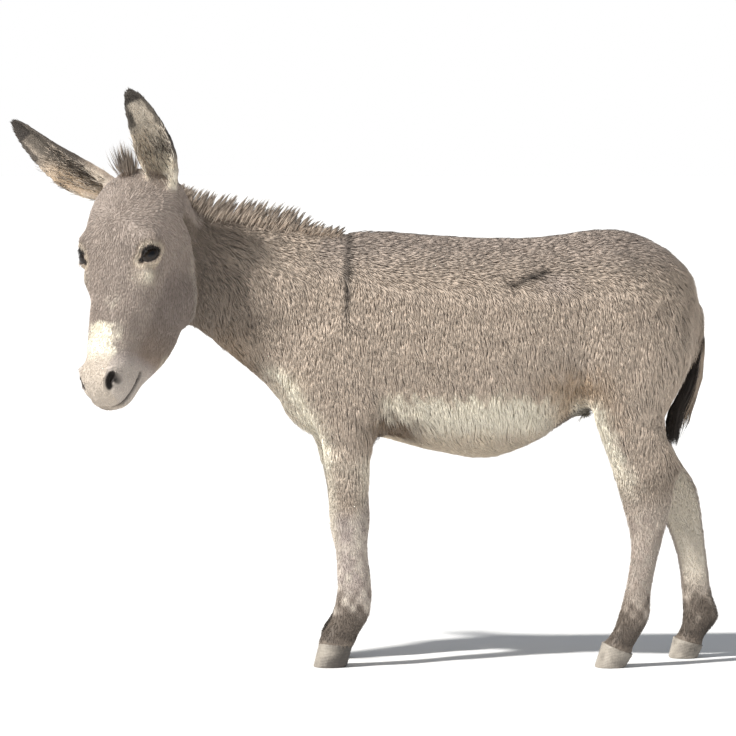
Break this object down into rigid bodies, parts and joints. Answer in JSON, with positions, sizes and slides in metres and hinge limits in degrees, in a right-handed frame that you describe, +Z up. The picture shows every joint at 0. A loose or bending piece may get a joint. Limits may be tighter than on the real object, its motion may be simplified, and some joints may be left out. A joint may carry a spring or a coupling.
{
  "type": "donkey",
  "caption": "Young grey donkey standing on its four hooves with its head turned to its left and its ears spread, a still life-size animal model.",
  "frame": {"origin": "on the floor under the middle of the whole donkey's bounding box", "axes": "+Z up, the donkey faces -X and its left side is towards -Y"},
  "size_m": [1.6154, 0.4952, 1.3006],
  "materials": {
    "coat": "short dense winter hair, grey dun with pale belly and muzzle",
    "ear": "short hair, pale inside and black at the tip",
    "mane": "stiff upright hair",
    "tail_hair": "long straight hair",
    "eye": "wet gloss",
    "hoof": "dull ringed horn"
  },
  "bodies": {
    "root": {"trunk": "coat", "neck": "coat", "head": "coat", "foreleg_left": "coat", "foreleg_right": "coat", "hindleg_left": "coat", "hindleg_right": "coat", "tail_dock": "coat", "ear_left": "ear", "ear_right": "ear", "mane": "mane", "forelock": "mane", "tail_tuft": "tail_hair", "eye_left": "eye", "eye_right": "eye", "forehoof_left": "hoof", "forehoof_right": "hoof", "hindhoof_left": "hoof", "hindhoof_right": "hoof"}
  },
  "joints": []
}
